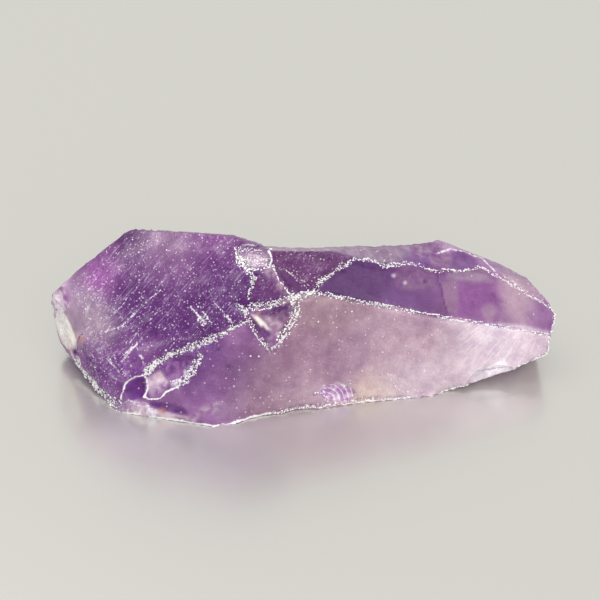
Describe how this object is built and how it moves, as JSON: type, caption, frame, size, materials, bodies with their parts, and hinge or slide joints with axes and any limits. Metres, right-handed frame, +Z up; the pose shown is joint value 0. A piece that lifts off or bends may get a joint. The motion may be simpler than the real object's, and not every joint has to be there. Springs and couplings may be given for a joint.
{
  "type": "rough amethyst",
  "caption": "Rough broken piece of violet quartz crystal with hollow conchoidal faces, sharp chipped ridges and a flat underside.",
  "frame": {"origin": "on the ground, under the middle of the bounding box", "axes": "+X along the length of the stone towards its pointed end, +Y towards its back, +Z up"},
  "size_m": [0.05, 0.0196, 0.0166],
  "materials": {
    "violet_quartz": "clear violet crystal, satin on the broken faces and frosted along the ridges"
  },
  "bodies": {
    "root": {"amethyst": "violet_quartz"}
  },
  "joints": []
}
